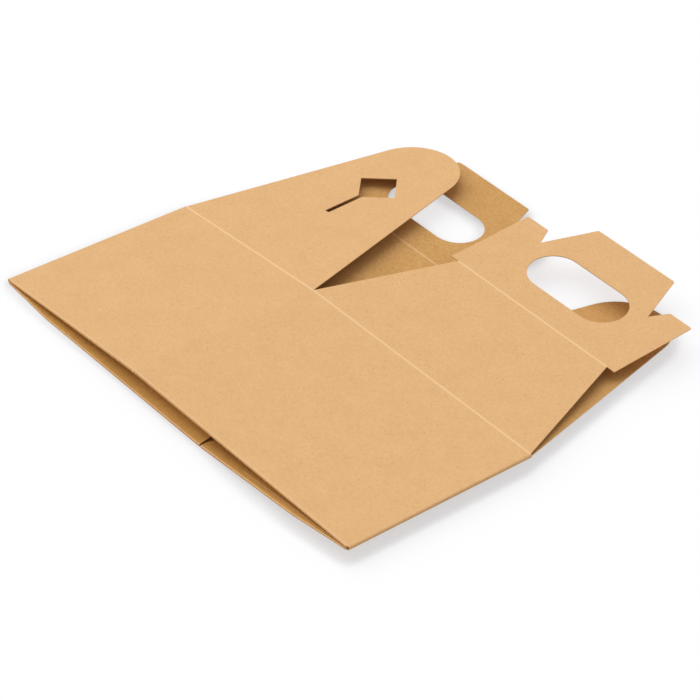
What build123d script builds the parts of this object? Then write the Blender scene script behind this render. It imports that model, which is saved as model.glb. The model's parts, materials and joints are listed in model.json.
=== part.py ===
"""Kraft-board gable box, flat-packed: a glued and flattened tube with its top flaps lying free.

The frame: X runs across the tube, Y up the height of the box, Z up from the surface it lies on.
The tube is a shallow parallelogram in section. Its lower wide panel lies flat on the surface, and
the lower narrow panel, the upper narrow panel and the upper wide panel follow round it.
"""

import os
from math import asin, atan2, cos, degrees, hypot, radians, sin, sqrt, tan

from build123d import *

# Board and box sizes, in millimetres
board = 0.6                     # thickness of the kraft board
wide = 200.0                    # wide panel, crease to crease
narrow = 130.0                  # narrow panel, crease to crease
height = 141.0                  # bottom fold to top crease

# How far the sheets have sprung, in degrees
spread = 4.1                    # tube wall against tube wall, at each side fold
side_lift = 1.85                # upper side flap above the panel that it hangs from
roof_lift = 1.8                 # upper roof panel above the wide panel
handle_lift = 1.8               # upper handle panel above the roof panel
low_roof_lift = 1.85            # lower roof panel above the surface
low_handle_lift = 0.55          # lower handle panel above the surface

# How the lower sheet lies against the upper one
skew = 3.1                      # lower bottom folds and gable, pushed down the box from the upper ones
skew_run = 45.0                 # length of bottom fold over which that grows from each side fold
lift_run = 70.0                 # width over which the lower gable lifts off the surface, from the left

# Roof panel and handle panel
roof_length = 93.0              # top crease to handle crease
handle_width = 149.0            # width across the handle's ears
ear_overhang = 6.5              # ear, out past the roof panel on each side
ear_height = 66.6               # handle crease to the top of an ear
ear_width = 18.9                # top of an ear
notch_run = 6.6                 # inner corner of an ear to the bottom of the V notch, across
notch_height = 53.5             # handle crease to the bottom of the V notch
tab_lean = 14.55                # side of the tab, in from the notch to its free edge
tab_height = 91.5               # handle crease to the free edge of the tab
corner_radius = 1.3             # rounding of the die-cut corners
hole_margin = 35.7              # end of the hand hole to the side of the handle
hole_height = 36.0              # hand hole, across
hole_centre = 39.3              # handle crease to the middle of the hand hole
hole_offset = 0.9               # hand hole, to the right of the handle's middle

# Side flap with its arrow-shaped lock slot
flap_length = 171.0             # top crease to the tip of the side flap
tip_radius = 32.3               # rounding of that tip
arrow_side = 23.8               # side of the square arrow head
arrow_centre = 109.1            # top crease to the middle of the arrow head
slit_start = 65.4               # top crease to the near end of the slit
slit_width = 3.4                # width of the slit
slit_radius = 1.0               # rounding of the slit's end
droop_share = 0.7               # lower flap's droop, of the one that lays its edge along the surface

# Bottom flaps, folded up inside the tube and glued in pairs
wide_flap_depth = 85.0          # flap of a wide panel
wide_flap_taper = 4.0           # lean of its two ends, in degrees
flap_spring = 5.3               # height that the lower wide flap has sprung to, at its inner end
spring_reach = 22.0             # bottom fold to where the sprung flap runs level
narrow_flap_depth = 90.0        # flap of a narrow panel, up to where its diagonal crease ends
tab_inset = 3.5                 # free edge of the folded glue tab, in from the bottom fold
tab_relief = 14.0               # glue tab cut back from the side fold
fold_radius = 1.0               # outer radius of a bottom fold at its inner end
tight_radius = 0.65             # and at the side fold, where it is pressed tighter
fold_relief = 0.8               # each bottom fold stops short of the corners
fold_slack = 0.35               # room that the folded flaps hold open at each side fold
seam_width = 15.0               # glue lap that closes the tube
seam_inset = 3.0                # lap's ends, clear of the bottom flap and the top crease

# Creases
score_width = 1.5               # pressed line on the outer face
score_depth = 0.14
ridge_width = 1.3               # raised line on the inner face
ridge_height = 0.12
ridge_root = 0.1                # foot of the raised line, within the board

# Working values
roof_top = handle_width - 2 * ear_overhang
tab_root = handle_width - 2 * (ear_width + notch_run)
tab_top = tab_root - 2 * tab_lean
hole_length = handle_width - 2 * hole_margin
spread_rise = narrow * sin(radians(spread))
spread_run = narrow * cos(radians(spread))
wall_offset = 2 * board         # outer face of a wall, out from the innermost face of the folded flaps
tube_rise = spread_rise + fold_slack
cut_overrun = wall_offset + tube_rise
fold_overlap = 2 * fold_radius  # piece of wall that a bottom fold brings with it


def point(x, z, y=0.0):
    """A point by its place across and above, at height y up the box."""
    return Vector(x, y, z)


# Inner corners of the flattened tube, at its innermost faces, round from the left side fold
left_low = point(0, wall_offset)
low = point(wide, wall_offset)
right_low = point(wide + spread_run, wall_offset + spread_rise)
right_high = point(wide + spread_run, wall_offset + tube_rise)
high = point(spread_run, wall_offset + tube_rise)
left_high = point(0, wall_offset + fold_slack)
tube_corners = [left_low, low, right_low, right_high, high, left_high]
tube_centre = (left_low + right_high) / 2

along_wide = Vector(1, 0, 0)
along_narrow = Vector(cos(radians(spread)), 0, sin(radians(spread)))
normal_wide = Vector(0, 0, 1)
normal_narrow = Vector(-sin(radians(spread)), 0, cos(radians(spread)))
up_box = Vector(0, 1, 0)

# Planes on the outer faces, origin at the middle of a panel's top crease, y up the box
to_crease = up_box * height
wide_low_top = Plane(
    left_low + along_wide * wide / 2 - normal_wide * wall_offset + to_crease,
    along_wide,
    normal_wide,
)
narrow_low_top = Plane(
    low + along_narrow * narrow / 2 - normal_narrow * wall_offset + to_crease,
    along_narrow,
    normal_narrow,
)
narrow_high_top = Plane(
    left_high + along_narrow * narrow / 2 + normal_narrow * wall_offset + to_crease,
    along_narrow,
    normal_narrow,
)
wide_high_top = Plane(
    high + along_wide * wide / 2 + normal_wide * wall_offset + to_crease,
    along_wide,
    normal_wide,
)

# Planes on the lower walls' outer faces, origin at a panel's first corner, y up the box
wide_low_outer = Plane(left_low - normal_wide * wall_offset, along_wide, normal_wide)
narrow_low_outer = Plane(low - normal_narrow * wall_offset, along_narrow, normal_narrow)

# Side flap: two straight edges run from the crease's ends to the tangent points of the round tip
tip_centre = flap_length - tip_radius
tip_distance = hypot(narrow / 2, tip_centre)
flap_taper = atan2(narrow / 2, tip_centre) - asin(tip_radius / tip_distance)
flap_edge = sqrt(tip_distance**2 - tip_radius**2)
tangent_x = narrow / 2 - flap_edge * sin(flap_taper)
tangent_y = flap_edge * cos(flap_taper)
# The lower side flap droops most of the way to where its edge would lie along the surface
flap_droop = droop_share * degrees(asin(tan(flap_taper) * tan(radians(spread))))


def shifted(plane, place):
    """The plane moved by a place or turn given in its own axes."""
    return Plane(plane.location * place)


def mirrored(points):
    """An outline from its right-hand points, bottom to top, mirrored about x = 0."""
    return points + [(-x, y) for x, y in reversed(points)]


def rounded(face, is_corner):
    """The face with the corners that is_corner(x, y) picks rounded to the die's corner radius."""
    picked = [v for v in face.vertices() if is_corner(v.X, v.Y)]
    return fillet(picked, corner_radius)


def side_flap_outline():
    """Tapered side flap with a round tip and the arrow-shaped lock slot."""
    straight = Polyline(
        (-tangent_x, tangent_y), (-narrow / 2, 0), (narrow / 2, 0), (tangent_x, tangent_y)
    )
    tip = ThreePointArc((tangent_x, tangent_y), (0, flap_length), (-tangent_x, tangent_y))
    slit_length = arrow_centre - slit_start
    slit = Pos(0, slit_start + slit_length / 2) * Rectangle(slit_width, slit_length)
    slit = fillet(slit.vertices().sort_by(Axis.Y)[:2], slit_radius)
    head = Pos(0, arrow_centre) * Rot(0, 0, 45) * Rectangle(arrow_side, arrow_side)
    return make_face(straight + tip) - slit - head


def roof_outline():
    """Trapezoid between the top crease and the handle crease."""
    points = mirrored([(wide / 2, 0), (roof_top / 2, roof_length)])
    return make_face(Polyline(*points, close=True))


def handle_outline():
    """Handle panel: two ears, two V notches, a tab between them and the hand hole."""
    points = mirrored(
        [
            (handle_width / 2, 0),
            (handle_width / 2, ear_height),
            (handle_width / 2 - ear_width, ear_height),
            (tab_root / 2, notch_height),
            (tab_top / 2, tab_height),
        ]
    )
    panel = make_face(Polyline(*points, close=True))
    panel = rounded(panel, lambda x, y: y > notch_height + corner_radius)
    return panel - Pos(hole_offset, hole_centre) * SlotOverall(hole_length, hole_height)


def sheet(outline):
    """A flat piece of board with the outline on its lower face."""
    return extrude(outline, amount=board)


def hanging_sheet(outline):
    """A flat piece of board with the outline on its upper, outer face."""
    return extrude(outline, amount=-board)


def strip(plane, length, rise, half_width):
    """A low rounded strip along the plane's x axis, centred on its origin: a ridge, or a groove to cut."""
    across = Plane(plane.origin - plane.x_dir * length / 2, plane.y_dir, plane.x_dir)
    chord = Line((-half_width, 0), (half_width, 0))
    crown = ThreePointArc((half_width, 0), (0, rise), (-half_width, 0))
    return extrude(across * make_face(chord + crown), amount=length)


def score(plane, length):
    """The groove that a creasing rule presses along a crease, on an outer face."""
    return strip(plane, length, -score_depth, score_width / 2)


def ridge(plane, length):
    """The raised line behind a crease, on an inner face."""
    foot = shifted(plane, Pos(0, 0, -ridge_root))
    return strip(foot, length, ridge_root + ridge_height, ridge_width / 2)


def tube():
    """The four walls: a ring round the innermost outline, from the bottom folds to the top crease."""
    core = Plane.XZ * make_face(Polyline(*[(c.X, c.Z) for c in tube_corners], close=True))
    ring = offset(core, wall_offset, kind=Kind.ARC) - offset(core, board, kind=Kind.ARC)
    return Pos(0, fold_radius, 0) * extrude(ring, amount=height - fold_radius, dir=up_box)


def fold_section(outer, x, crest, radius, depth, rise):
    """Section of a bottom fold at x: a piece of wall, the round turn at crest and the flap over the wall."""
    across = Plane(outer.origin + outer.x_dir * x, outer.y_dir, outer.x_dir)
    turn = crest + radius
    top = 2 * radius
    bend = crest + spring_reach
    end = crest + depth
    outline = [
        Line((fold_overlap, 0), (turn, 0)),
        ThreePointArc((turn, 0), (crest, radius), (turn, top)),
        Polyline(
            (turn, top),
            (bend, top + rise),
            (end, top + rise),
            (end, top + rise - board),
            (bend, top + rise - board),
            (turn, top - board),
        ),
        ThreePointArc((turn, top - board), (crest + board, radius), (turn, board)),
        Polyline((turn, board), (fold_overlap, board), (fold_overlap, 0)),
    ]
    return across * make_face(outline)


def radius_at(share):
    """Outer radius of a bottom fold, a share of the way from the side fold to the inner corner."""
    return tight_radius + (fold_radius - tight_radius) * share


def wide_bottom_flap(push, spring):
    """Bottom fold and flap of a wide panel, its fold pushed down the box and its inner end sprung up."""
    lean = wide_flap_depth * tan(radians(wide_flap_taper))
    stations = [
        (fold_relief, 0, 0),
        (skew_run, -push, 0),
        (wide - fold_relief, -push, spring),
    ]
    sections = [
        fold_section(wide_low_outer, x, crest, radius_at(x / wide), wide_flap_depth, rise)
        for x, crest, rise in stations
    ]
    outline = Polyline(
        (0, -push - fold_overlap),
        (wide, -push - fold_overlap),
        (wide, fold_overlap),
        (wide - lean, wide_flap_depth + fold_overlap),
        (lean, wide_flap_depth + fold_overlap),
        (0, fold_overlap),
        close=True,
    )
    cutter = extrude(make_face(outline), amount=cut_overrun, both=True)
    return loft(sections, ruled=True) & (wide_low_outer * cutter)


def narrow_bottom_flap(push):
    """Bottom fold and flap of a narrow panel, up to its diagonal crease."""
    stations = [
        (fold_relief, -push),
        (narrow - skew_run, -push),
        (narrow - fold_relief, 0),
    ]
    sections = [
        fold_section(narrow_low_outer, x, crest, radius_at(1 - x / narrow), narrow_flap_depth + push, 0)
        for x, crest in stations
    ]
    outline = Polyline(
        (0, -push - fold_overlap),
        (narrow, -push - fold_overlap),
        (narrow, fold_overlap),
        (narrow - narrow_flap_depth, narrow_flap_depth),
        (0, fold_overlap),
        close=True,
    )
    cutter = extrude(make_face(outline), amount=cut_overrun, both=True)
    return loft(sections, ruled=True) & (narrow_low_outer * cutter)


def glue_tab():
    """Outer part of a narrow bottom flap, folded back over the diagonal crease on top of the flap."""
    fall = degrees(atan2(2 * (fold_radius - tight_radius), narrow))
    on_flap = shifted(narrow_low_outer, Pos(0, 0, 2 * fold_radius) * Rot(0, fall, 0))
    inner_x = narrow - narrow_flap_depth
    points = [
        (narrow - tab_relief, tab_inset),
        (narrow - tab_relief, tab_relief),
        (inner_x, narrow_flap_depth),
        (inner_x, tab_inset),
    ]
    return on_flap * sheet(make_face(Polyline(*points, close=True)))


def seam_lap():
    """Glue lap that closes the tube, on the lower wide wall above its bottom flap."""
    start = wide_flap_depth + fold_overlap + seam_inset
    length = height - seam_inset - start
    place = Pos(wide - seam_width / 2, start + length / 2, board)
    return wide_low_outer * place * sheet(Rectangle(seam_width, length))


def half_turn(shape):
    """The shape turned half round about the tube's own height axis: the upper half matches the lower."""
    return Pos(tube_centre) * Rot(0, 180, 0) * Pos(-tube_centre) * shape


def glued_bottom():
    """The auto-lock bottom: four folds and flaps and the two glue tabs, flat inside the tube."""
    lower = [wide_bottom_flap(skew, flap_spring), narrow_bottom_flap(skew), glue_tab()]
    upper = [wide_bottom_flap(0, 0), narrow_bottom_flap(0), glue_tab()]
    return lower + [half_turn(piece) for piece in upper]


def sheet_section(top, x, runs):
    """Section at x of a sheet that leaves the top crease in runs, each a length and a lift in degrees."""
    across = Plane(top.origin + top.x_dir * x, top.y_dir, top.x_dir)
    steps = [Vector(cos(radians(lift)), sin(radians(lift))) for length, lift in runs]
    under = [Vector(0, 0)]
    for (length, lift), step in zip(runs, steps):
        under.append(under[-1] + step * length)
    thick = Vector(0, board)
    start = under[-1] + thick
    outline = [Polyline(*under, start)]
    for i in range(len(runs) - 1, 0, -1):
        # The crease's ridge, over a bend between two runs
        bend = under[i] + thick
        far = bend + steps[i] * ridge_width / 2
        near = bend - steps[i - 1] * ridge_width / 2
        outline += [Line(start, far), ThreePointArc(far, bend + Vector(0, ridge_height), near)]
        start = near
    outline.append(Polyline(start, thick, (0, 0)))
    return across * make_face(outline)


def bent_sheet(top, stations, outline):
    """A sheet cut to an outline, lofted through its sections, each given as its x and its runs."""
    bent = loft([sheet_section(top, x, runs) for x, runs in stations], ruled=True)
    cutter = extrude(outline, amount=cut_overrun, both=True)
    return bent & (top * cutter)


def lower_gable():
    """Roof and handle panels of the lower wide wall, sprung off the surface but for their left side."""
    top = shifted(wide_low_top, Pos(0, -skew))
    flat = [(roof_length, 0), (tab_height, 0)]
    lifted = [(roof_length, low_roof_lift), (tab_height, low_handle_lift)]
    stations = [(-wide / 2, flat), (lift_run - wide / 2, lifted), (wide / 2, lifted)]
    outline = roof_outline() + Pos(0, roof_length) * handle_outline()
    return [bent_sheet(top, stations, outline), ridge(shifted(top, Pos(0, 0, board)), wide)]


def lower_side_flap():
    """Side flap of the lower narrow wall, drooped from its crease towards the surface."""
    runs = [(flap_length, -flap_droop)]
    return bent_sheet(narrow_low_top, [(-narrow / 2, runs), (narrow / 2, runs)], side_flap_outline())


def body():
    """The folded and glued sheet: tube, bottom, seam, and the flaps that lie on the surface."""
    pieces = [*glued_bottom(), seam_lap(), *lower_gable(), lower_side_flap()]
    whole = tube().fuse(*pieces)
    return whole - score(narrow_high_top, narrow) - score(wide_high_top, wide)


def side_flap():
    """Upper side flap, hinged on the top crease of the upper narrow wall."""
    plane = shifted(narrow_high_top, Rot(side_lift, 0, 0))
    return plane * hanging_sheet(side_flap_outline()) - score(plane, narrow)


roof_plane = shifted(wide_high_top, Rot(roof_lift, 0, 0))
roof_end = shifted(roof_plane, Pos(0, roof_length))
handle_plane = shifted(roof_end, Rot(handle_lift, 0, 0))


def roof_panel():
    """Upper roof panel, hinged on the top crease of the upper wide wall."""
    panel = roof_plane * hanging_sheet(roof_outline())
    return panel - score(roof_plane, wide) - score(roof_end, roof_top)


def handle_panel():
    """Upper handle panel, hinged on the roof panel's far crease."""
    return handle_plane * hanging_sheet(handle_outline()) - score(handle_plane, roof_top)


nodes = {
    "body": body(),
    "side_flap": side_flap(),
    "roof_panel": roof_panel(),
    "handle_panel": handle_panel(),
}

# The part stands on z = 0, centred on its own box
box = Compound([*nodes.values()]).bounding_box()
to_origin = Pos(-box.center().X, -box.center().Y, -box.min.Z)

os.makedirs("parts", exist_ok=True)
for name, solid in nodes.items():
    export_step(to_origin * solid, f"parts/{name}.step")
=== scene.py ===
"""Dresses a flat-packed kraft board gable box and sets it in a plain studio.

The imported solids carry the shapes: the folded and glued body, and the side flap, the roof panel and the
handle panel that swing on its upper creases. This script gives them their board, adds the beads behind
the hinged creases and the web at the front corner, and makes the floor, the light and the camera.
Lengths are metres, or millimetres where a name ends in mm.
"""

import json
import logging
import math
from collections.abc import Sequence
from dataclasses import dataclass
from enum import Enum

import bmesh
import bpy
from mathutils import Matrix, Quaternion, Vector


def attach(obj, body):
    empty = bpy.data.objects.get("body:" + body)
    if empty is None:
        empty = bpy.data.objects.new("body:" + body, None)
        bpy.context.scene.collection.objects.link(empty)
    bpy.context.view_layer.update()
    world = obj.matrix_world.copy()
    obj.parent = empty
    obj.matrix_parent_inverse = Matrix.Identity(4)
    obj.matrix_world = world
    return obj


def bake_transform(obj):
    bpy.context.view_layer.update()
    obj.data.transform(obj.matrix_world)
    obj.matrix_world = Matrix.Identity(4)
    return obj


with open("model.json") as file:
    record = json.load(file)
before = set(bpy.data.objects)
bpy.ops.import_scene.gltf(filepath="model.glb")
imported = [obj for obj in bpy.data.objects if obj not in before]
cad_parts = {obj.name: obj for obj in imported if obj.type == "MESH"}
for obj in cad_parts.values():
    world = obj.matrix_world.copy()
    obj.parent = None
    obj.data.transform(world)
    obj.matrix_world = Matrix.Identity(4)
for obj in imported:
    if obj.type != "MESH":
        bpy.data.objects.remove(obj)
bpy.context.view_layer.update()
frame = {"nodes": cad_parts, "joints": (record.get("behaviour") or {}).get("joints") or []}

MM = 0.001
UPRIGHT = 0.5       # a face is a side of the board where its normal's z is smaller than this
JOINTS = {joint["name"]: joint for joint in frame["joints"]}
log = logging.getLogger("gable_box")

Socket = bpy.types.NodeSocket
NodeTree = bpy.types.NodeTree


class Face(Enum):
    """Which surface of the board shows.

    OUTER and INNER are the two faces of the sheet, TUBE is the board within the tube, golden with painted
    bounce shade, and CUT is a die-cut edge. CREST is the round of a lower bottom fold, pale with taut fibres
    and a painted highlight, TURN the round of an upper one and the side of a side fold, in painted shade,
    and BEND the side of a bottom fold, in brown painted shade.
    """

    OUTER = "outer"
    INNER = "inner"
    TUBE = "tube"
    CUT = "cut"
    CREST = "crest"
    TURN = "turn"
    BEND = "bend"


class Sheet(Enum):
    """Which of the two sheets of the flattened tube."""

    UPPER = "upper"
    LOWER = "lower"


class Hinge(Enum):
    """The hinged creases, each by the joint that turns it."""

    SIDE = "side_flap_swing"
    ROOF = "roof_swing"
    HANDLE = "handle_swing"

    def middle(self) -> Vector:
        """The crease's middle, on the outer face."""
        return Vector(JOINTS[self.value]["pos_m"])

    def along(self) -> Vector:
        """The crease's direction."""
        return Vector(JOINTS[self.value]["axis"]).normalized()


def linear(colour: str) -> tuple[float, float, float, float]:
    """Turns an sRGB hex colour to linear light, by the sRGB curve.

    Args:
        colour: six hex digits after a hash.

    Returns:
        Red, green, blue and an alpha of 1.
    """
    parts = [int(colour[i : i + 2], 16) / 255 for i in (1, 3, 5)]
    red, green, blue = [c / 12.92 if c <= 0.04045 else ((c + 0.055) / 1.055) ** 2.4 for c in parts]
    return red, green, blue, 1.0


def per_metre(size_mm: float) -> float:
    """The texture scale at which one feature of a pattern is size_mm long."""
    return 1 / (size_mm * MM)


def add_node(tree: NodeTree, kind: str, feeds: dict | None = None, **settings: object) -> bpy.types.Node:
    """Adds one shader node with its settings and what feeds it.

    Args:
        tree: the node tree that gets the node.
        kind: Blender's name for the node after "ShaderNode".
        feeds: input name or index to the socket that is linked to it, or to the value that it holds.
        settings: the node's own properties.

    Returns:
        The new node.
    """
    node = tree.nodes.new("ShaderNode" + kind)
    for name, value in settings.items():
        setattr(node, name, value)
    for name, source in (feeds or {}).items():
        if isinstance(source, Socket):
            tree.links.new(source, node.inputs[name])
        else:
            node.inputs[name].default_value = source
    return node


def add_object(name: str, bm: bmesh.types.BMesh) -> bpy.types.Object:
    """Makes a bmesh an object of the scene, and frees it.

    Args:
        name: the object's name and its mesh's.
        bm: the shape, in its place.

    Returns:
        The new object.
    """
    mesh = bpy.data.meshes.new(name)
    bm.to_mesh(mesh)
    bm.free()
    made = bpy.data.objects.new(name, mesh)
    bpy.context.scene.collection.objects.link(made)
    return made


@dataclass(frozen=True)
class Crease:
    """A pale band that runs along X: a pressed line, and on the glue tab's rim a painted highlight.

    Attributes:
        y: where the line is.
        start: lowest x of the line.
        end: highest x of the line.
        sheet: the sheet that it is pressed into.
        show: how strongly its paler band shows, from 0 to 1: fibres drawn taut on a crease, and a painted
            highlight on the glue tab's rim.
        width_mm: how wide the pressed band is.
        core_share: the middle part of that width, over which it shows in full.
    """

    y: float
    start: float
    end: float
    sheet: Sheet = Sheet.UPPER
    show: float = 0.9
    width_mm: float = 2.4
    core_share: float = 0.25


@dataclass(frozen=True)
class Tone:
    """The darkest and the palest kraft of one surface."""

    dark: str
    pale: str


@dataclass(frozen=True)
class Grain:
    """One layer of the board's grain.

    Attributes:
        size_mm: size of its features.
        detail: how many times finer noise is laid over it.
        weight: its share of the whole grain.
    """

    size_mm: float
    detail: float
    weight: float


@dataclass(frozen=True)
class Fleck:
    """Flecks of one kind, scattered through the pulp.

    Attributes:
        colour: the fleck's colour.
        spacing_mm: size of the cells that hold one fleck each, or none.
        size_mm: width of a middling fleck.
        length: how many times longer than wide it is.
        turn_deg: which way it lies.
        outer: share of the cells that hold one, on the outer face.
        inner: the same on the inner face.
        strength: how much of its colour shows.
        small_share: the smallest fleck, as a share of a middling one.
        large_share: the largest one.
        core_share: the part of a middling fleck that has its full colour.
    """

    colour: str
    spacing_mm: float
    size_mm: float
    length: float
    turn_deg: float
    outer: float
    inner: float
    strength: float
    small_share: float = 0.7
    large_share: float = 1.9
    core_share: float = 0.3


BARK_SPECK = Fleck(
    "#83592F", spacing_mm=5.2, size_mm=0.45, length=1.8, turn_deg=0, outer=0.24, inner=0.4, strength=0.6
)
BROWN_FLECK = Fleck(
    "#A3713A", spacing_mm=2.4, size_mm=0.5, length=1.5, turn_deg=35, outer=0.14, inner=0.5, strength=0.4
)
PALE_FIBRE = Fleck(
    "#F6D5A6", spacing_mm=2.9, size_mm=0.42, length=2.6, turn_deg=-40, outer=0.22, inner=0.4, strength=0.45
)


@dataclass(frozen=True)
class KraftBoard:
    """Uncoated natural kraft board, 0.6 mm, pressed from brown pulp, die-cut and creased.

    The eye sees a matt tan sheet with a fine even mottle, scattered dark specks of bark and pale ends of
    fibre. The inner face is darker and more flecked than the outer one, and a little more golden than its
    lit parts are, a painted shade of light gone from kraft to kraft; within the tube the board is more
    golden still, all painted bounce shade. A crease is a paler band. A lower bottom fold is pale on its
    round, where its fibres are drawn taut, with a painted highlight; an upper fold's round and a side fold's
    side are in painted shade, and a bottom fold's steep front is in brown painted shade. The cut edge is
    bare kraft, kept paler partly as painted light against the shade on edges turned from the light.
    """

    outer: Tone = Tone("#DDAE79", "#EABC86")
    # The inner face's own darker kraft, made a little more golden as painted shade of kraft-to-kraft bounce.
    inner: Tone = Tone("#C79454", "#DBAA6C")
    # Painted bounce shade: the golden board within the tube, where light has gone from kraft to kraft.
    tube: Tone = Tone("#C18C45", "#D5A25B")
    # The cut edge's bare kraft, kept pale partly as painted light against the shade on edges turned from the
    # light.
    cut: Tone = Tone("#D2A66E", "#E4BD88")
    # Pale round of a lower bottom fold: taut fibres and a painted highlight.
    crest: Tone = Tone("#E2B580", "#EBC28F")
    # Painted shade on the round of an upper bottom fold and on the side of a side fold.
    turn: Tone = Tone("#CD9F69", "#DAAD77")
    # Brown painted shade on the steep front side of a bottom fold.
    bend: Tone = Tone("#B27A40", "#CA965C")
    # Paler band of taut fibres on creases and before the upper folds, and the painted highlight on the glue
    # tab's rim.
    pale_band_and_highlight: str = "#F3CC9B"
    flecks: tuple[Fleck, ...] = (BARK_SPECK, BROWN_FLECK, PALE_FIBRE)
    clouds: Grain = Grain(size_mm=15.0, detail=2.0, weight=0.2)
    mottle: Grain = Grain(size_mm=2.2, detail=3.0, weight=0.35)
    # Real fibres are 0.05 mm wide, too fine to show, so bundles of them are drawn.
    fibres: Grain = Grain(size_mm=0.8, detail=1.0, weight=0.45)
    grain_dark: float = 0.36        # noise at and below this is the dark end of a tone
    grain_pale: float = 0.64        # and at and above this the pale end
    relief_mm: float = 0.03
    relief_strength: float = 0.5
    ior: float = 1.5
    specular: float = 0.2
    rough_dark: float = 0.84
    rough_pale: float = 0.94

    def material(self, piece: "BoardPiece") -> bpy.types.Material:
        """Makes the board for one piece, with its own creases and faces.

        Args:
            piece: the piece that is dressed.

        Returns:
            The new material.
        """
        made = bpy.data.materials.new(f"Kraft board, uncoated, {piece.name}")
        made.use_nodes = True
        tree = made.node_tree
        tree.nodes.clear()
        coords = add_node(tree, "TexCoord")
        at = coords.outputs["Object"]
        place = add_node(tree, "SeparateXYZ", {0: at}).outputs
        facing = add_node(tree, "SeparateXYZ", {0: coords.outputs["Normal"]}).outputs
        faces = piece.faces(tree, place, facing)
        grain = self.grain(tree, at)
        colour = self.colour(tree, faces, grain)
        for fleck in self.flecks:
            colour = self.scatter(tree, fleck, at, faces[Face.INNER], colour)
        for crease in piece.creases:
            colour = self.press(tree, crease, place, piece.shows(tree, crease, place), colour)
        rough = add_node(tree, "MapRange", {0: grain, 3: self.rough_dark, 4: self.rough_pale})
        relief = {"Strength": self.relief_strength, "Distance": self.relief_mm * MM, "Height": grain}
        bump = add_node(tree, "Bump", relief)
        shader = add_node(
            tree,
            "BsdfPrincipled",
            {
                "Base Color": colour,
                "Roughness": rough.outputs[0],
                "IOR": self.ior,
                "Specular IOR Level": self.specular,
                "Normal": bump.outputs[0],
            },
        )
        add_node(tree, "OutputMaterial", {"Surface": shader.outputs[0]})
        return made

    def grain(self, tree: NodeTree, at: Socket) -> Socket:
        """Clouds, mottle and fibre bundles as one value from 0, dark, to 1, pale.

        Args:
            tree: the material's node tree.
            at: where on the piece, in metres.

        Returns:
            The value's socket.
        """
        total: Socket | float = 0.0
        for layer in (self.clouds, self.mottle, self.fibres):
            noise = add_node(
                tree, "TexNoise", {"Vector": at, "Scale": per_metre(layer.size_mm), "Detail": layer.detail}
            )
            added = {0: noise.outputs[0], 1: layer.weight, 2: total}
            total = add_node(tree, "Math", added, operation="MULTIPLY_ADD").outputs[0]
        return add_node(tree, "MapRange", {0: total, 1: self.grain_dark, 2: self.grain_pale}).outputs[0]

    def colour(self, tree: NodeTree, faces: dict[Face, Socket], grain: Socket) -> Socket:
        """The kraft of each surface, mixed by which one shows.

        Args:
            tree: the material's node tree.
            faces: how much each surface but the outer one shows, 0 or 1.
            grain: the board's grain, 0 to 1.

        Returns:
            The colour's socket.
        """
        tones = {
            Face.INNER: self.inner,
            Face.TUBE: self.tube,
            Face.CUT: self.cut,
            Face.CREST: self.crest,
            Face.TURN: self.turn,
            Face.BEND: self.bend,
        }
        mixed = self.kraft(tree, self.outer, grain)
        for face, shows in faces.items():
            kraft = self.kraft(tree, tones[face], grain)
            mixed = add_node(tree, "Mix", {0: shows, 6: mixed, 7: kraft}, data_type="RGBA").outputs[2]
        return mixed

    def kraft(self, tree: NodeTree, tone: Tone, grain: Socket) -> Socket:
        """One tone, from dark to pale with the grain."""
        feeds = {0: grain, 6: linear(tone.dark), 7: linear(tone.pale)}
        return add_node(tree, "Mix", feeds, data_type="RGBA").outputs[2]

    def scatter(self, tree: NodeTree, fleck: Fleck, at: Socket, inner: Socket, colour: Socket) -> Socket:
        """Scatters one kind of fleck, in other numbers on the inner face than on the outer one.

        Args:
            tree: the material's node tree.
            fleck: the kind of fleck.
            at: where on the piece, in metres.
            inner: how much the inner face shows, 0 or 1.
            colour: the board's colour so far.

        Returns:
            The colour with the flecks.
        """
        turned = {0: at, "Rotation": (0, 0, math.radians(fleck.turn_deg)), "Scale": (1 / fleck.length, 1, 1)}
        laid = add_node(tree, "Mapping", turned, vector_type="POINT").outputs[0]
        cell = {"Vector": laid, "Scale": per_metre(fleck.spacing_mm)}
        cells = add_node(tree, "TexVoronoi", cell, voronoi_dimensions="2D").outputs
        chance = add_node(tree, "SeparateColor", {0: cells["Color"]}).outputs
        share = add_node(tree, "MapRange", {0: inner, 3: fleck.outer, 4: fleck.inner}).outputs[0]
        held = add_node(tree, "Math", {0: chance[0], 1: share}, operation="LESS_THAN").outputs[0]
        radius = fleck.size_mm / 2 / fleck.spacing_mm
        sizes = {0: chance[1], 3: fleck.small_share * radius, 4: fleck.large_share * radius}
        reach = add_node(tree, "MapRange", sizes).outputs[0]
        near = {0: cells["Distance"], 1: reach, 2: fleck.core_share * radius, 3: 0.0, 4: fleck.strength}
        inside = add_node(tree, "MapRange", near).outputs[0]
        amount = add_node(tree, "Math", {0: inside, 1: held}, operation="MULTIPLY").outputs[0]
        feeds = {0: amount, 6: colour, 7: linear(fleck.colour)}
        return add_node(tree, "Mix", feeds, data_type="RGBA").outputs[2]

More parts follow.
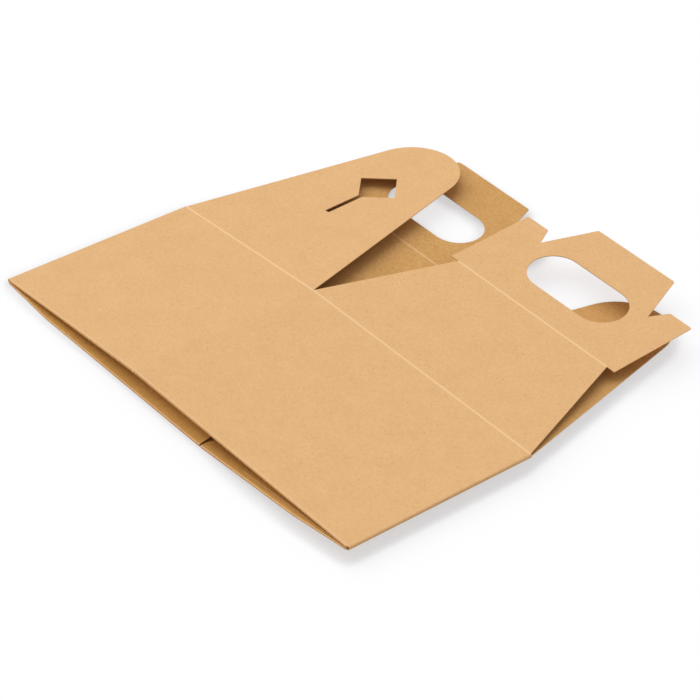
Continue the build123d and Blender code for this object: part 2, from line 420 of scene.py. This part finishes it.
    def press(
        self, tree: NodeTree, crease: Crease, place: Sequence[Socket], shows: Socket, colour: Socket
    ) -> Socket:
        """Draws the paler band of one crease.

        Args:
            tree: the material's node tree.
            crease: the crease.
            place: x, y and z sockets of the point, in metres.
            shows: where the crease may show, 0 or 1.
            colour: the board's colour so far.

        Returns:
            The colour with the band.
        """
        off = add_node(tree, "Math", {0: place[1], 1: crease.y}, operation="SUBTRACT").outputs[0]
        off = add_node(tree, "Math", {0: off}, operation="ABSOLUTE").outputs[0]
        half = crease.width_mm * MM / 2
        near = {0: off, 1: half, 2: crease.core_share * half, 3: 0.0, 4: crease.show}
        band = add_node(tree, "MapRange", near, interpolation_type="SMOOTHSTEP").outputs[0]
        amount = add_node(tree, "Math", {0: band, 1: shows}, operation="MULTIPLY").outputs[0]
        feeds = {0: amount, 6: colour, 7: linear(self.pale_band_and_highlight)}
        return add_node(tree, "Mix", feeds, data_type="RGBA").outputs[2]


@dataclass
class BoardPiece:
    """A piece of the box that is dressed in board.

    Attributes:
        name: the piece's name, and the CAD node's where it has one.
        creases: the pressed lines on it.
    """

    name: str
    creases: tuple[Crease, ...] = ()

    def faces(
        self, tree: NodeTree, place: Sequence[Socket], facing: Sequence[Socket]
    ) -> dict[Face, Socket]:
        """Which surface of the board shows where: the inner one below, and the cut at the sides.

        Args:
            tree: the material's node tree.
            place: x, y and z sockets of the point, in metres; not used.
            facing: x, y and z sockets of the normal.

        Returns:
            For each surface but the outer one, how much of it shows.
        """
        down = add_node(tree, "Math", {0: facing[2], 1: -UPRIGHT}, operation="LESS_THAN").outputs[0]
        steep = add_node(tree, "Math", {0: facing[2]}, operation="ABSOLUTE").outputs[0]
        side = add_node(tree, "Math", {0: steep, 1: UPRIGHT}, operation="LESS_THAN").outputs[0]
        return {Face.INNER: down, Face.CUT: side}

    def shows(self, tree: NodeTree, crease: Crease, place: Sequence[Socket]) -> Socket:
        """Where a crease may show: between its two ends.

        Args:
            tree: the material's node tree.
            crease: the crease.
            place: x, y and z sockets of the point, in metres.

        Returns:
            The value's socket, 0 or 1.
        """
        middle = (crease.start + crease.end) / 2
        half = (crease.end - crease.start) / 2
        span = {0: place[0], 1: middle, 2: half}
        return add_node(tree, "Math", span, operation="COMPARE").outputs[0]

    def dress(self, piece: bpy.types.Object, finish: KraftBoard) -> bpy.types.Object:
        """Gives an object its board.

        Args:
            piece: the object that is this piece.
            finish: the board.

        Returns:
            The same object, dressed.
        """
        piece.data.materials.clear()
        piece.data.materials.append(finish.material(self))
        return piece


@dataclass
class FoldedBody(BoardPiece):
    """The flattened tube with its glued bottom, and the top panels that lie on the surface.

    Attributes:
        within_mm: how far under the outer face of the upper walls the inside starts.
        round_low: the normal's z at the lower end of a fold's lit round.
        round_high: the normal's z at its upper end.
        front: a face belongs to a bottom fold where its normal's y is below this.
    """

    within_mm: float = 0.7
    round_low: float = 0.49
    round_high: float = 0.95
    front: float = -0.2

    def under(self, tree: NodeTree, place: Sequence[Socket]) -> Socket:
        """Where a point lies under the upper sheet, and not on its outer face.

        Args:
            tree: the material's node tree.
            place: x, y and z sockets of the point, in metres.

        Returns:
            The value's socket, 0 or 1.
        """
        side = Hinge.SIDE.middle()
        slope = Hinge.SIDE.along().z / Hinge.SIDE.along().x
        ramp = {0: place[0], 1: slope, 2: side.z - slope * side.x}
        narrow = add_node(tree, "Math", ramp, operation="MULTIPLY_ADD").outputs[0]
        wide = Hinge.ROOF.middle().z
        upper = add_node(tree, "Math", {0: narrow, 1: wide}, operation="MINIMUM").outputs[0]
        depth = add_node(tree, "Math", {0: upper, 1: place[2]}, operation="SUBTRACT").outputs[0]
        within = {0: depth, 1: self.within_mm * MM}
        return add_node(tree, "Math", within, operation="GREATER_THAN").outputs[0]

    def faces(
        self, tree: NodeTree, place: Sequence[Socket], facing: Sequence[Socket]
    ) -> dict[Face, Socket]:
        """Outside on the walls, inside under them and on the lower top panels, with folds round the walls
        that get painted highlight and shade by the way they face.

        Args:
            tree: the material's node tree.
            place: x, y and z sockets of the point, in metres.
            facing: x, y and z sockets of the normal.

        Returns:
            For each surface but the outer one, how much of it shows.
        """
        top = Hinge.ROOF.middle().y
        beyond = add_node(tree, "Math", {0: place[1], 1: top}, operation="GREATER_THAN").outputs[0]
        before = add_node(tree, "Math", {0: 1.0, 1: beyond}, operation="SUBTRACT").outputs[0]
        under = self.under(tree, place)
        up = add_node(tree, "Math", {0: facing[2], 1: UPRIGHT}, operation="GREATER_THAN").outputs[0]
        inside = add_node(tree, "Math", {0: up, 1: under}, operation="MULTIPLY").outputs[0]
        steep = add_node(tree, "Math", {0: facing[2]}, operation="ABSOLUTE").outputs[0]
        side = add_node(tree, "Math", {0: steep, 1: UPRIGHT}, operation="LESS_THAN").outputs[0]
        front = add_node(tree, "Math", {0: facing[1], 1: self.front}, operation="LESS_THAN").outputs[0]
        bend = add_node(tree, "Math", {0: side, 1: front}, operation="MULTIPLY").outputs[0]
        edge = add_node(tree, "Math", {0: side, 1: bend}, operation="SUBTRACT").outputs[0]
        # A fold's round is told by which way it faces: on the lower sheet it gets a painted highlight, on
        # the upper one painted shade, as does the steep side of a side fold; the steep front of a bottom
        # fold gets brown painted shade.
        middle = (self.round_low + self.round_high) / 2
        half = (self.round_high - self.round_low) / 2
        lit = add_node(tree, "Math", {0: facing[2], 1: middle, 2: half}, operation="COMPARE").outputs[0]
        crest = add_node(tree, "Math", {0: lit, 1: under}, operation="MULTIPLY").outputs[0]
        upper = add_node(tree, "Math", {0: lit, 1: crest}, operation="SUBTRACT").outputs[0]
        upper = add_node(tree, "Math", {0: upper, 1: front}, operation="MULTIPLY").outputs[0]
        turn = add_node(tree, "Math", {0: upper, 1: edge}, operation="MAXIMUM").outputs[0]
        where = {
            Face.INNER: (inside, beyond),
            # Up-facing board under the upper sheet gets the tube's painted bounce shade.
            Face.TUBE: (inside, before),
            Face.CUT: (side, beyond),
            Face.CREST: (crest, before),
            Face.TURN: (turn, before),
            Face.BEND: (bend, before),
        }
        return {
            face: add_node(tree, "Math", {0: one, 1: other}, operation="MULTIPLY").outputs[0]
            for face, (one, other) in where.items()
        }

    def shows(self, tree: NodeTree, crease: Crease, place: Sequence[Socket]) -> Socket:
        """Where a crease may show: between its two ends and on its own sheet.

        Args:
            tree: the material's node tree.
            crease: the crease.
            place: x, y and z sockets of the point, in metres.

        Returns:
            The value's socket, 0 or 1.
        """
        along = super().shows(tree, crease, place)
        sheet = self.under(tree, place)
        if crease.sheet is Sheet.UPPER:
            sheet = add_node(tree, "Math", {0: 1.0, 1: sheet}, operation="SUBTRACT").outputs[0]
        return add_node(tree, "Math", {0: along, 1: sheet}, operation="MULTIPLY").outputs[0]


@dataclass(kw_only=True)
class CreaseBead(BoardPiece):
    """The bead that a creasing rule raises behind a hinged crease, whole from one panel to the next.

    Attributes:
        before: the body that the crease is on; not used.
        after: the body that swings on it; not used.
        hinge: middle of the crease, on the outer face.
        along: direction of the crease.
        across: direction over the crease, along the panel.
        length_mm: the crease, a little short of its ends.
        width_mm: width of the bead.
        height_mm: height of the bead, most of it within the board.
        depth_mm: outer face to the bead's middle.
        turn_mm: how far each side of the crease the bead still turns with both panels; not used.
        sides: sides of the bead's section.
    """

    before: str
    after: str
    hinge: Vector
    along: Vector
    across: Vector
    length_mm: float
    width_mm: float = 1.4
    height_mm: float = 0.5
    depth_mm: float = 0.45
    turn_mm: float = 0.4
    sides: int = 12

    def build(self) -> bpy.types.Object:
        """Makes the bead's mesh in its place.

        Returns:
            The new object.
        """
        normal = self.along.cross(self.across)
        turned = Matrix((self.across, normal, self.along)).transposed().to_4x4()
        place = Matrix.Translation(self.hinge - normal * self.depth_mm * MM) @ turned
        bm = bmesh.new()
        bmesh.ops.create_circle(bm, cap_ends=True, segments=self.sides, radius=0.5)
        bmesh.ops.scale(bm, verts=bm.verts, vec=(self.width_mm * MM, self.height_mm * MM, 1))
        bmesh.ops.translate(bm, verts=bm.verts, vec=(0, 0, -self.length_mm * MM / 2))
        far = bmesh.ops.extrude_face_region(bm, geom=bm.faces[:])["geom"]
        far_points = [v for v in far if isinstance(v, bmesh.types.BMVert)]
        bmesh.ops.translate(bm, verts=far_points, vec=(0, 0, self.length_mm * MM))
        bmesh.ops.transform(bm, verts=bm.verts, matrix=place)
        bmesh.ops.recalc_face_normals(bm, faces=bm.faces)
        bead = add_object(self.name, bm)
        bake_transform(bead)
        return bead


@dataclass(kw_only=True)
class CornerWeb(BoardPiece):
    """The bit of board that is left between two bottom folds, at the corner where both stop short.

    Attributes:
        corner: the corner, on the outer face of the walls.
        length_mm: how far apart the two folds stop, and a little more.
        radius_mm: outer radius of the folds, less a little.
        board_mm: thickness of the board, less a little.
        steps: faces round the turn.
    """

    corner: Vector
    length_mm: float = 1.8
    radius_mm: float = 0.96
    board_mm: float = 0.56
    steps: int = 8

    def build(self) -> bpy.types.Object:
        """Turns the board's section half round, from the wall's outer face to the flap within.

        Returns:
            The new object.
        """
        centre = self.corner + Vector((0, self.radius_mm, -self.radius_mm)) * MM
        rise = (self.radius_mm - self.board_mm / 2) * MM
        bm = bmesh.new()
        bmesh.ops.create_grid(bm, x_segments=1, y_segments=1, size=0.5)
        bmesh.ops.delete(bm, geom=bm.faces[:], context="FACES_ONLY")
        bmesh.ops.scale(bm, verts=bm.verts, vec=(self.length_mm * MM, self.board_mm * MM, 1))
        bmesh.ops.rotate(bm, verts=bm.verts, matrix=Matrix.Rotation(math.pi / 2, 3, "X"))
        bmesh.ops.translate(bm, verts=bm.verts, vec=centre + Vector((0, 0, rise)))
        section = bm.edges[:] + bm.verts[:]
        bmesh.ops.spin(bm, geom=section, cent=centre, axis=(1, 0, 0), angle=math.pi, steps=self.steps)
        bmesh.ops.holes_fill(bm, edges=[edge for edge in bm.edges if edge.is_boundary])
        bmesh.ops.recalc_face_normals(bm, faces=bm.faces)
        web = add_object(self.name, bm)
        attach(web, "body")
        return web


@dataclass(frozen=True)
class GableBox:
    """The whole box: the sizes of its sheet that the creases need, and its pieces.

    Attributes:
        narrow_mm: narrow panel, crease to crease.
        wide_mm: wide panel, crease to crease.
        height_mm: bottom fold to top crease.
        roof_mm: top crease to handle crease.
        roof_top_mm: roof panel at the handle crease.
        skew_mm: how far the lower gable lies down the box from the upper one.
        low_show: how strongly the lower creases show, on the inner face.
        tab_in_mm: lower bottom fold to the pale rim along the glue tab's free edge, a painted highlight.
        tab_start_mm: where the rim starts, from the lower fold between the walls.
        tab_end_mm: how far it stops short of the narrow wall's other fold.
        tab_rim_mm: how wide the rim is.
        tab_show: how strongly that painted highlight shows.
        fold_in_mm: upper bottom fold to the pale line just before it.
        fold_line_mm: how wide that line is.
        fold_show: how strongly it shows.
        bead_end_mm: how far a bead stops short of its crease's ends.
    """

    narrow_mm: float = 130.0
    wide_mm: float = 200.0
    height_mm: float = 141.0
    roof_mm: float = 93.0
    roof_top_mm: float = 136.0
    skew_mm: float = 3.1
    low_show: float = 0.5
    tab_in_mm: float = 3.9
    tab_start_mm: float = 37.0
    tab_end_mm: float = 6.0
    tab_rim_mm: float = 1.1
    tab_show: float = 0.5
    fold_in_mm: float = 1.4
    fold_line_mm: float = 1.6
    fold_show: float = 0.4
    bead_end_mm: float = 1.5

    def length_mm(self, hinge: Hinge) -> float:
        """How long a hinged crease is."""
        return {Hinge.SIDE: self.narrow_mm, Hinge.ROOF: self.wide_mm, Hinge.HANDLE: self.roof_top_mm}[hinge]

    def fold_y(self) -> float:
        """Where the upper bottom folds are."""
        return Hinge.ROOF.middle().y - self.height_mm * MM

    def line(self, hinge: Hinge) -> Crease:
        """The pressed line of a hinged crease."""
        half = self.length_mm(hinge) * MM / 2
        return Crease(hinge.middle().y, hinge.middle().x - half, hinge.middle().x + half)

    def fold_line(self) -> Crease:
        """The stretched fibres just before the upper bottom folds.

        Returns:
            One pale line along both upper walls.
        """
        return Crease(
            self.fold_y() + self.fold_in_mm * MM,
            self.line(Hinge.SIDE).start,
            self.line(Hinge.ROOF).end,
            show=self.fold_show,
            width_mm=self.fold_line_mm,
        )

    def low_lines(self) -> tuple[Crease, ...]:
        """The lines of the lower sheet, whose inner face shows past the upper one.

        Returns:
            The roof's, the handle's and the side flap's crease, and the painted highlight on the rim of the
            glue tab.
        """
        roof = Hinge.ROOF.middle()
        middle = -roof.x
        fold = middle + self.wide_mm * MM / 2
        top = roof.y - self.skew_mm * MM
        half_top = self.roof_top_mm * MM / 2
        handle = top + self.roof_mm * MM
        # The glue tab's rim: a pale band that is a painted highlight on its free edge.
        rim = top - (self.height_mm - self.tab_in_mm) * MM
        rim_end = fold + (self.narrow_mm - self.tab_end_mm) * MM
        return (
            Crease(top, middle - self.wide_mm * MM / 2, fold, Sheet.LOWER, self.low_show),
            Crease(handle, middle - half_top, middle + half_top, Sheet.LOWER, self.low_show),
            Crease(roof.y, fold, fold + self.narrow_mm * MM, Sheet.LOWER, self.low_show),
            Crease(rim, fold + self.tab_start_mm * MM, rim_end, Sheet.LOWER, self.tab_show, self.tab_rim_mm),
        )

    def panels(self) -> tuple[BoardPiece, ...]:
        """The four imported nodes, each with the pressed lines that it shares.

        Returns:
            The body, then the panels that swing.
        """
        side, roof, handle = (self.line(hinge) for hinge in Hinge)
        return (
            FoldedBody("body", (side, roof, self.fold_line(), *self.low_lines())),
            BoardPiece("side_flap", (side,)),
            BoardPiece("roof_panel", (roof, handle)),
            BoardPiece("handle_panel", (handle,)),
        )

    def bead(self, name: str, hinge: Hinge, before: str, after: str, across: Vector) -> CreaseBead:
        """The bead behind one hinged crease.

        Args:
            name: the bead's name.
            hinge: the crease.
            before: the body that the crease is on.
            after: the body that swings on it.
            across: direction over the crease, along the panel.

        Returns:
            The bead, not yet built.
        """
        return CreaseBead(
            name=name,
            before=before,
            after=after,
            hinge=hinge.middle(),
            along=hinge.along(),
            across=across,
            length_mm=self.length_mm(hinge) - 2 * self.bead_end_mm,
        )

    def added(self) -> tuple[CreaseBead | CornerWeb, ...]:
        """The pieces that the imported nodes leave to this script.

        Returns:
            The three beads and the web.
        """
        up_box = Vector((0, 1, 0))
        up_roof = (Hinge.HANDLE.middle() - Hinge.ROOF.middle()).normalized()
        corner = Vector((self.line(Hinge.ROOF).start, self.fold_y(), Hinge.ROOF.middle().z))
        return (
            self.bead("side_flap_bead", Hinge.SIDE, "body", "side_flap", up_box),
            self.bead("roof_bead", Hinge.ROOF, "body", "roof_panel", up_box),
            self.bead("handle_bead", Hinge.HANDLE, "roof_panel", "handle_panel", up_roof),
            CornerWeb(name="corner_web", corner=corner),
        )

    def build(self, board: KraftBoard) -> list[bpy.types.Object]:
        """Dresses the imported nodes, and makes and dresses what is added to them.

        Args:
            board: the finish.

        Returns:
            The dressed objects.
        """
        dressed = [piece.dress(frame["nodes"][piece.name], board) for piece in self.panels()]
        return dressed + [piece.dress(piece.build(), board) for piece in self.added()]


@dataclass
class Studio:
    """The plain white studio: floor, soft dome and a broad key from above and the left.

    Attributes:
        floor_size: side of the floor.
        floor_drop_mm: how far the floor lies under the board, so that their faces don't coincide.
        floor_colour: the floor's paint.
        glow_colour: the white that the camera sees for part of the floor's paint.
        glow: strength of that white.
        glow_share: how much of the floor it is; the rest takes the box's shadow as it falls.
        contact_mm: how far from the box the white gets a painted contact shadow, where board and floor meet.
        contact_open: how open the floor still is where that shade is deepest.
        contact_shade: how much of the white is left there.
        dome_colour: colour of the light from all round, and of what is behind the floor.
        dome: strength of the light from all round.
        key: strength of the key.
        key_from: direction that the key comes from.
        key_spread_deg: how broad the key is.
    """

    floor_size: float = 30.0
    floor_drop_mm: float = 0.1
    floor_colour: str = "#FAFAFA"
    glow_colour: str = "#FDFDFF"
    glow: float = 1.05
    glow_share: float = 0.7
    contact_mm: float = 11.0
    contact_open: float = 0.86
    contact_shade: float = 0.8
    dome_colour: str = "#FFFFFF"
    dome: float = 0.53
    key: float = 1.7
    key_from: tuple[float, float, float] = (-0.55, -0.05, 0.83)
    key_spread_deg: float = 75.0

    def build(self) -> None:
        """Makes the floor, the dome and the key."""
        self.add_floor()
        self.add_dome()
        self.add_key()

    def add_floor(self) -> None:
        """Makes the floor, white to the camera but for the box's shadow, part real and part painted."""
        bm = bmesh.new()
        bmesh.ops.create_grid(bm, x_segments=1, y_segments=1, size=self.floor_size / 2)
        bmesh.ops.translate(bm, verts=bm.verts, vec=(0, 0, -self.floor_drop_mm * MM))
        floor = add_object("studio_floor", bm)
        floor.data.materials.append(self.floor_paint())

    def floor_paint(self) -> bpy.types.Material:
        """Matt white paint, rolled on: an even white with no gloss, which takes soft shadows, and for the
        camera a white glow with a painted contact shadow near the box.

        Returns:
            The new material.
        """
        paint = bpy.data.materials.new("Matt white studio paint")
        paint.use_nodes = True
        tree = paint.node_tree
        tree.nodes.clear()
        matt = add_node(tree, "BsdfDiffuse", {"Color": linear(self.floor_colour)})
        # An occlusion term darkens the glow near the box: a painted contact shadow.
        opened = add_node(tree, "AmbientOcclusion", {"Distance": self.contact_mm * MM}).outputs["AO"]
        contact = {0: opened, 1: self.contact_open, 3: self.contact_shade}
        shade = add_node(tree, "MapRange", contact).outputs[0]
        level = add_node(tree, "Math", {0: shade, 1: self.glow}, operation="MULTIPLY").outputs[0]
        glow = add_node(tree, "Emission", {"Color": linear(self.glow_colour), "Strength": level})
        seen = add_node(tree, "LightPath").outputs["Is Camera Ray"]
        share = add_node(tree, "Math", {0: seen, 1: self.glow_share}, operation="MULTIPLY").outputs[0]
        both = add_node(tree, "MixShader", {0: share, 1: matt.outputs[0], 2: glow.outputs[0]})
        add_node(tree, "OutputMaterial", {"Surface": both.outputs[0]})
        return paint

    def add_dome(self) -> None:
        """Makes the light from all round, and plain white behind the floor."""
        world = bpy.data.worlds.new("studio_dome")
        world.use_nodes = True
        tree = world.node_tree
        tree.nodes.clear()
        ray = add_node(tree, "LightPath").outputs
        colour = linear(self.dome_colour)
        light = add_node(tree, "Background", {"Color": colour, "Strength": self.dome})
        white = add_node(tree, "Background", {"Color": colour})
        seen = ray["Is Camera Ray"]
        for kind in ("Is Glossy Ray", "Is Transmission Ray"):
            seen = add_node(tree, "Math", {0: seen, 1: ray[kind]}, operation="MAXIMUM").outputs[0]
        both = add_node(tree, "MixShader", {0: seen, 1: light.outputs[0], 2: white.outputs[0]})
        add_node(tree, "OutputWorld", {"Surface": both.outputs[0]})
        bpy.context.scene.world = world

    def add_key(self) -> None:
        """Makes the broad soft key."""
        lamp = bpy.data.lights.new("soft_key", "SUN")
        lamp.energy = self.key
        lamp.angle = math.radians(self.key_spread_deg)
        key = bpy.data.objects.new("soft_key", lamp)
        key.rotation_mode = "QUATERNION"
        key.rotation_quaternion = Vector(self.key_from).to_track_quat("Z", "Y")
        bpy.context.scene.collection.objects.link(key)


@dataclass
class PhotoCamera:
    """The camera at the photograph's place.

    Attributes:
        target_mm: where its axis meets the floor.
        azimuth_deg: round from the front, towards +X.
        elevation_deg: above the floor.
        roll_deg: turn about its own axis.
        distance_mm: target to camera.
        lens_mm: focal length, for the sensor's width.
        sensor_mm: the sensor's width.
    """

    target_mm: tuple[float, float, float] = (14.025, -30.539, 0.0)
    azimuth_deg: float = 47.273
    elevation_deg: float = 36.913
    roll_deg: float = 4.319
    distance_mm: float = 1819.36
    lens_mm: float = 151.865
    sensor_mm: float = 36.0

    def build(self) -> None:
        """Makes the camera and has the scene use it."""
        azimuth = math.radians(self.azimuth_deg)
        elevation = math.radians(self.elevation_deg)
        back = Vector(
            (
                math.sin(azimuth) * math.cos(elevation),
                -math.cos(azimuth) * math.cos(elevation),
                math.sin(elevation),
            )
        )
        data = bpy.data.cameras.new("photo_camera")
        data.lens = self.lens_mm
        data.sensor_width = self.sensor_mm
        camera = bpy.data.objects.new("photo_camera", data)
        camera.location = (Vector(self.target_mm) + back * self.distance_mm) * MM
        camera.rotation_mode = "QUATERNION"
        roll = Quaternion((0, 0, 1), math.radians(self.roll_deg))
        camera.rotation_quaternion = (-back).to_track_quat("-Z", "Y") @ roll
        bpy.context.scene.collection.objects.link(camera)
        bpy.context.scene.camera = camera


def main() -> None:
    """Builds the studio, the camera and the box."""
    logging.basicConfig(level=logging.INFO, format="%(message)s")
    bpy.context.scene.view_settings.view_transform = "Standard"
    Studio().build()
    PhotoCamera().build()
    for piece in GableBox().build(KraftBoard()):
        log.info("dressed %s", piece.name)


if __name__ == "__main__":
    main()
